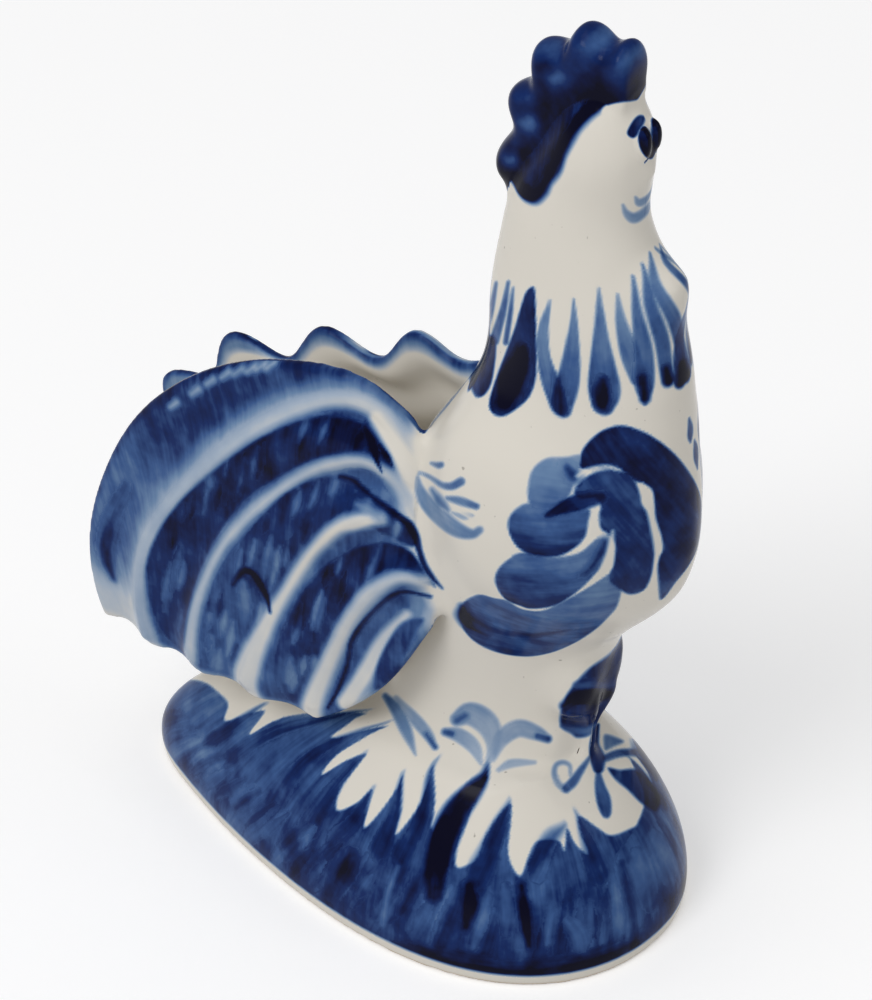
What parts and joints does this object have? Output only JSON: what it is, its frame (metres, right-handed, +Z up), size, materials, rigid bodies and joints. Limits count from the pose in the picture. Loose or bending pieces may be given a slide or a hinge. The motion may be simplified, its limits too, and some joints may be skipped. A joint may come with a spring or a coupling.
{
  "type": "rooster napkin holder",
  "caption": "Blue and white porcelain rooster on an oval grass mound, its tail made of fan walls with an open slot between them that holds folded napkins.",
  "frame": {"origin": "middle of the overall box in plan, at the level of the foot ring on the table", "axes": "+X the way the bird faces, +Y to the bird's left, +Z up"},
  "size_m": [0.109, 0.0556, 0.165],
  "materials": {
    "white_glaze": "clear gloss glaze over white porcelain",
    "cobalt_glaze": "brushed cobalt under a clear gloss glaze",
    "dark_glaze": "dense cobalt under a clear gloss glaze"
  },
  "bodies": {
    "root": {"base_mound": "cobalt_glaze", "body_shell": "white_glaze", "neck_and_head": "white_glaze", "comb": "cobalt_glaze", "beak": "white_glaze", "breast_ruff": "white_glaze", "right_eye": "dark_glaze", "left_eye": "dark_glaze", "right_wing": "cobalt_glaze", "left_wing": "cobalt_glaze", "right_leg": "cobalt_glaze", "left_leg": "cobalt_glaze", "right_tail_fan": "cobalt_glaze", "left_tail_fan": "cobalt_glaze", "slot_floor": "white_glaze"}
  },
  "joints": []
}
